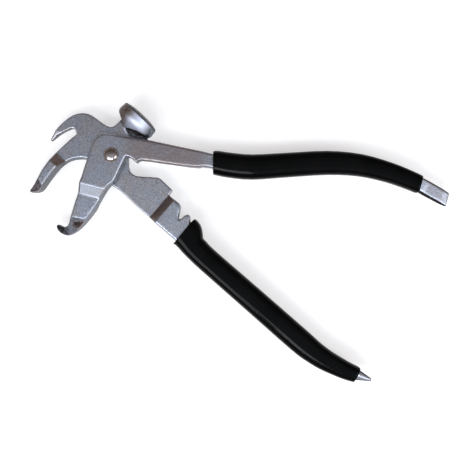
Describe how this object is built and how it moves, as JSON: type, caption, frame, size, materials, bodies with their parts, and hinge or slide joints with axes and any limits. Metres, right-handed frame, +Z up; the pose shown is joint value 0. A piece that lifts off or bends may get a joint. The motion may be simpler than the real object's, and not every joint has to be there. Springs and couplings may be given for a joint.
{
  "type": "wheel weight hammer",
  "caption": "Plier-like wheel weight tool: riveted halves with a slotted claw, a hook, a round hammer head, dipped grips, a pry tip and an awl.",
  "frame": {"origin": "on the surface that the tool lies on, under the middle of its outline", "axes": "+X from the jaws towards the handles, +Y from the lower handle towards the upper one, +Z up out of the surface, square to the jaws' faces"},
  "size_m": [0.2602, 0.1726, 0.026],
  "materials": {
    "hammer_half_steel": "satin plated forging",
    "hook_half_steel": "satin plated forging",
    "rivet_steel": "bright domed",
    "grip_vinyl": "glossy dipped"
  },
  "bodies": {
    "hammer_body": {"hammer_half": "hammer_half_steel", "lower_grip": "grip_vinyl", "pivot_rivet": "rivet_steel"},
    "hook_body": {"hook_half": "hook_half_steel", "upper_grip": "grip_vinyl"}
  },
  "joints": [
    {"name": "pivot", "type": "hinge", "parent": "hammer_body", "child": "hook_body", "pos_m": [-0.07835, 0.05346, 0.013], "axis": [0, 0, -1], "range_deg": [-4, 25.5]}
  ]
}
